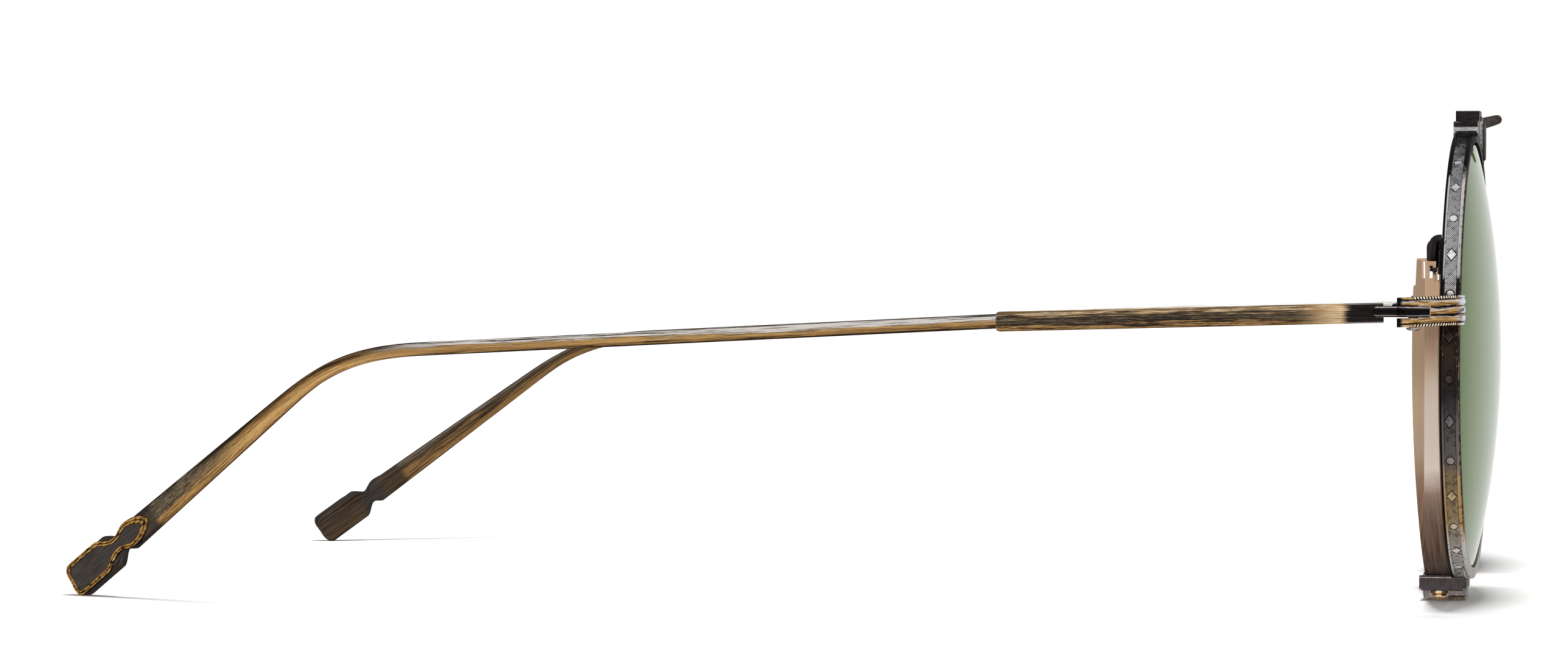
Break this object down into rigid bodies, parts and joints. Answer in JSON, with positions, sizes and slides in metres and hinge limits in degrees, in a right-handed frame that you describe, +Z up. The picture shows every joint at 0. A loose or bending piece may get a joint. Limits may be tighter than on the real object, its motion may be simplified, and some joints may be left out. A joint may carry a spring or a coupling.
{
  "type": "sunglasses",
  "caption": "Round metal sunglasses with domed green lenses, light shields behind the rims, a brow bar, forked hinges and folding temples with an ear bend.",
  "frame": {"origin": "centre of the footprint on the surface that the sunglasses stand on, on their two foot pads and two temple ends", "axes": "+Z up; the lenses face -Y and the temples run back along +Y; X goes across the face, with the wearer's right at -X"},
  "size_m": [0.1452, 0.1504, 0.0527],
  "materials": {
    "rim_silver": "antique silver, satin rails with an engraved band",
    "lens_green": "green tinted lens with a clear polish",
    "dark_metal": "dark gunmetal, polished",
    "antique_gold": "antique gold, brushed lengthwise, darkened in the hollows",
    "rose_beige": "pale rose gold, brushed",
    "gold_screw": "polished gold",
    "brown_pad": "matt brown, textured"
  },
  "bodies": {
    "front": {"rim_right": "rim_silver", "rim_left": "rim_silver", "lens_right": "lens_green", "lens_left": "lens_green", "brow_bar": "dark_metal", "bridge": "antique_gold", "top_bracket_right": "dark_metal", "top_bracket_left": "dark_metal", "claw_plate_right": "dark_metal", "claw_plate_left": "dark_metal", "shield_right": "rose_beige", "shield_left": "rose_beige", "shield_hook_nose_right": "dark_metal", "shield_hook_nose_left": "dark_metal", "shield_hook_temple_right": "dark_metal", "shield_hook_temple_left": "dark_metal", "bottom_bracket_right": "dark_metal", "bottom_bracket_left": "dark_metal", "foot_pad_right": "brown_pad", "foot_pad_left": "brown_pad", "shield_screw_right": "gold_screw", "shield_screw_left": "gold_screw", "endpiece_right": "antique_gold", "endpiece_left": "antique_gold", "hinge_screw_right": "gold_screw", "hinge_screw_left": "gold_screw"},
    "right_temple": {"temple_right": "antique_gold", "hinge_leaf_right": "dark_metal"},
    "left_temple": {"temple_left": "antique_gold", "hinge_leaf_left": "dark_metal"}
  },
  "joints": [
    {"name": "fold_left", "type": "hinge", "parent": "front", "child": "left_temple", "pos_m": [0.066, -0.06604, 0.0307], "axis": [0, 0, 1], "range_deg": [0, 90]},
    {"name": "fold_right", "type": "hinge", "parent": "front", "child": "right_temple", "pos_m": [-0.066, -0.06604, 0.0307], "axis": [0, 0, -1], "range_deg": [0, 84]}
  ]
}
